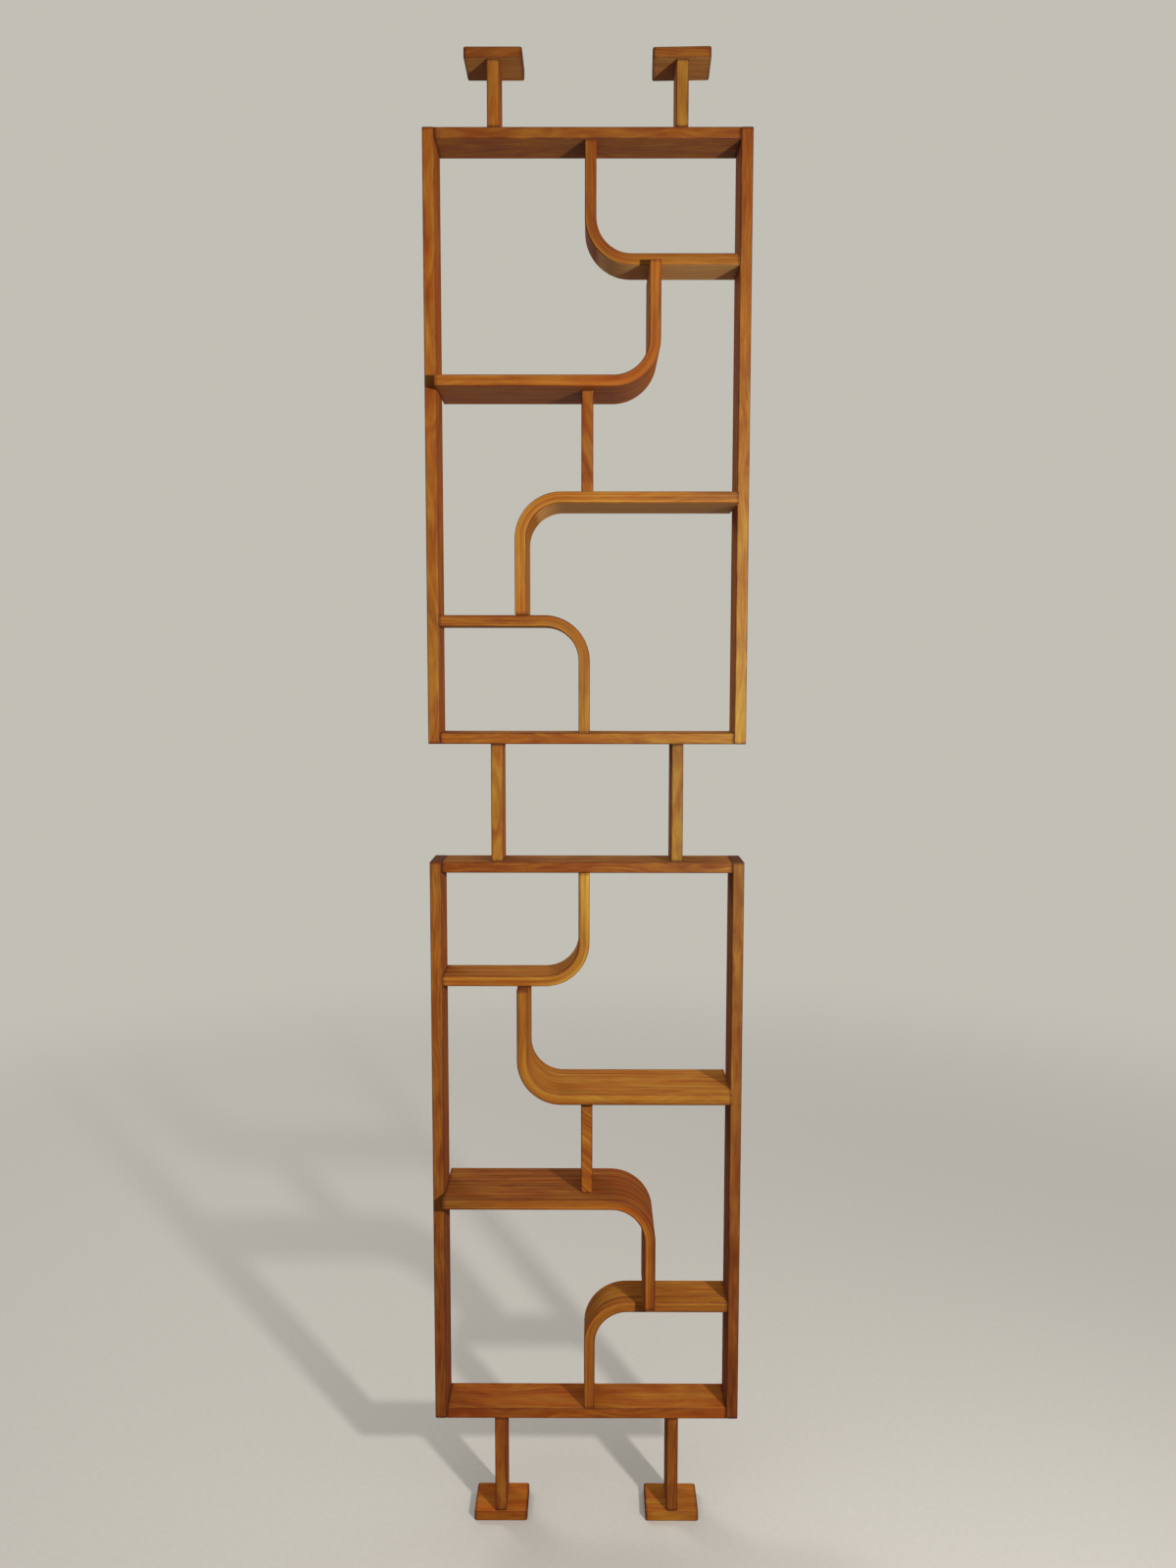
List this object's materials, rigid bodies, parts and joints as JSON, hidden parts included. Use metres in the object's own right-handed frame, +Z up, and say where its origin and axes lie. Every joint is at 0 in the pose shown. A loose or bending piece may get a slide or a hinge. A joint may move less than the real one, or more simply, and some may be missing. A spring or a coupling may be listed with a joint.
{
  "type": "room divider",
  "caption": "Tall open wooden room divider with bent laminated shelves in two stacked frames, on posts with foot plates and turning screw-up ceiling plates.",
  "frame": {"origin": "on the floor, under the middle of the divider", "axes": "+Z up, +X to the right seen from the front, +Y to the back"},
  "size_m": [0.54, 0.138, 2.5313],
  "materials": {
    "stained_beech": "satin varnish over a honey brown stain",
    "bent_beech": "satin varnish over laminated beech, layers showing on the edges",
    "plain_beech": "bare sawn beech",
    "zinc_steel": "zinc plated"
  },
  "bodies": {
    "divider": {"upper_top_rail": "stained_beech", "upper_bottom_rail": "stained_beech", "upper_left_upright": "stained_beech", "upper_right_upright": "stained_beech", "upper_strut": "stained_beech", "upper_shelf_1": "bent_beech", "upper_shelf_2": "bent_beech", "upper_shelf_3": "bent_beech", "upper_shelf_4": "bent_beech", "lower_top_rail": "stained_beech", "lower_bottom_rail": "stained_beech", "lower_left_upright": "stained_beech", "lower_right_upright": "stained_beech", "lower_strut": "stained_beech", "lower_shelf_1": "bent_beech", "lower_shelf_2": "bent_beech", "lower_shelf_3": "bent_beech", "lower_shelf_4": "bent_beech", "left_foot_plate": "stained_beech", "left_foot_post": "stained_beech", "left_middle_post": "stained_beech", "left_ceiling_post": "stained_beech", "left_threaded_bush": "zinc_steel", "right_foot_plate": "stained_beech", "right_foot_post": "stained_beech", "right_middle_post": "stained_beech", "right_ceiling_post": "stained_beech", "right_threaded_bush": "zinc_steel", "upper_top_rail_near_tongue": "plain_beech", "upper_top_rail_far_tongue": "plain_beech", "upper_bottom_rail_near_tongue": "plain_beech", "upper_bottom_rail_far_tongue": "plain_beech", "upper_strut_top_tongue": "plain_beech", "upper_strut_bottom_tongue": "plain_beech", "upper_shelf_1_side_tongue": "plain_beech", "upper_shelf_1_leg_tongue": "plain_beech", "upper_shelf_2_side_tongue": "plain_beech", "upper_shelf_2_leg_tongue": "plain_beech", "upper_shelf_3_side_tongue": "plain_beech", "upper_shelf_3_leg_tongue": "plain_beech", "upper_shelf_4_side_tongue": "plain_beech", "upper_shelf_4_leg_tongue": "plain_beech", "lower_top_rail_near_tongue": "plain_beech", "lower_top_rail_far_tongue": "plain_beech", "lower_bottom_rail_near_tongue": "plain_beech", "lower_bottom_rail_far_tongue": "plain_beech", "lower_strut_top_tongue": "plain_beech", "lower_strut_bottom_tongue": "plain_beech", "lower_shelf_1_side_tongue": "plain_beech", "lower_shelf_1_leg_tongue": "plain_beech", "lower_shelf_2_side_tongue": "plain_beech", "lower_shelf_2_leg_tongue": "plain_beech", "lower_shelf_3_side_tongue": "plain_beech", "lower_shelf_3_leg_tongue": "plain_beech", "lower_shelf_4_side_tongue": "plain_beech", "lower_shelf_4_leg_tongue": "plain_beech"},
    "left_rod": {"left_threaded_rod": "zinc_steel"},
    "left_plate": {"left_ceiling_plate": "stained_beech"},
    "right_rod": {"right_threaded_rod": "zinc_steel"},
    "right_plate": {"right_ceiling_plate": "stained_beech"}
  },
  "joints": [
    {"name": "left_rod_rise", "type": "slide", "parent": "divider", "child": "left_rod", "axis": [0, 0, 1], "range_m": [0, 0.0281]},
    {"name": "left_plate_turn", "type": "hinge", "parent": "left_rod", "child": "left_plate", "pos_m": [-0.154, 0, 2.5133], "axis": [0, 0, 1], "range_deg": [0, 8064]},
    {"name": "right_rod_rise", "type": "slide", "parent": "divider", "child": "right_rod", "axis": [0, 0, 1], "range_m": [0, 0.0281]},
    {"name": "right_plate_turn", "type": "hinge", "parent": "right_rod", "child": "right_plate", "pos_m": [0.154, 0, 2.5133], "axis": [0, 0, 1], "range_deg": [0, 8064]}
  ],
  "couplings": [
    {"joint": "left_rod_rise", "follows": "left_plate_turn", "m_per_rad": 0.00019894},
    {"joint": "right_rod_rise", "follows": "right_plate_turn", "m_per_rad": 0.00019894}
  ]
}
